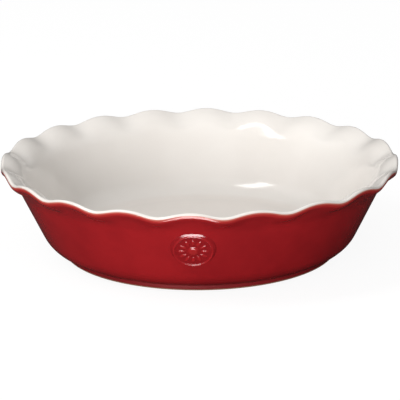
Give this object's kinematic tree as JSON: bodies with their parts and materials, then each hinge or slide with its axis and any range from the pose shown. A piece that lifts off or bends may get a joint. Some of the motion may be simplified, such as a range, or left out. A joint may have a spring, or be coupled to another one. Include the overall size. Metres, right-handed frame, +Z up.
{
  "type": "pie dish",
  "caption": "Round glazed stoneware pie dish with sloping walls, a ruffled lip, a cream lining, a red outside and a bare foot ring.",
  "frame": {"origin": "centre of the foot ring's underside, on the table", "axes": "+Z up out of the bowl, -Y towards the medallion on the front of the wall, +X to the right when the medallion is faced"},
  "size_m": [0.2668, 0.2668, 0.0638],
  "materials": {
    "red_glaze": "gloss",
    "cream_glaze": "gloss",
    "bare_clay": "matte",
    "medallion_glaze": "gloss"
  },
  "bodies": {
    "root": {"stoneware_body": "red_glaze", "cream_liner_glaze": "cream_glaze", "bare_foot_ring": "bare_clay", "wall_medallion": "medallion_glaze"}
  },
  "joints": []
}
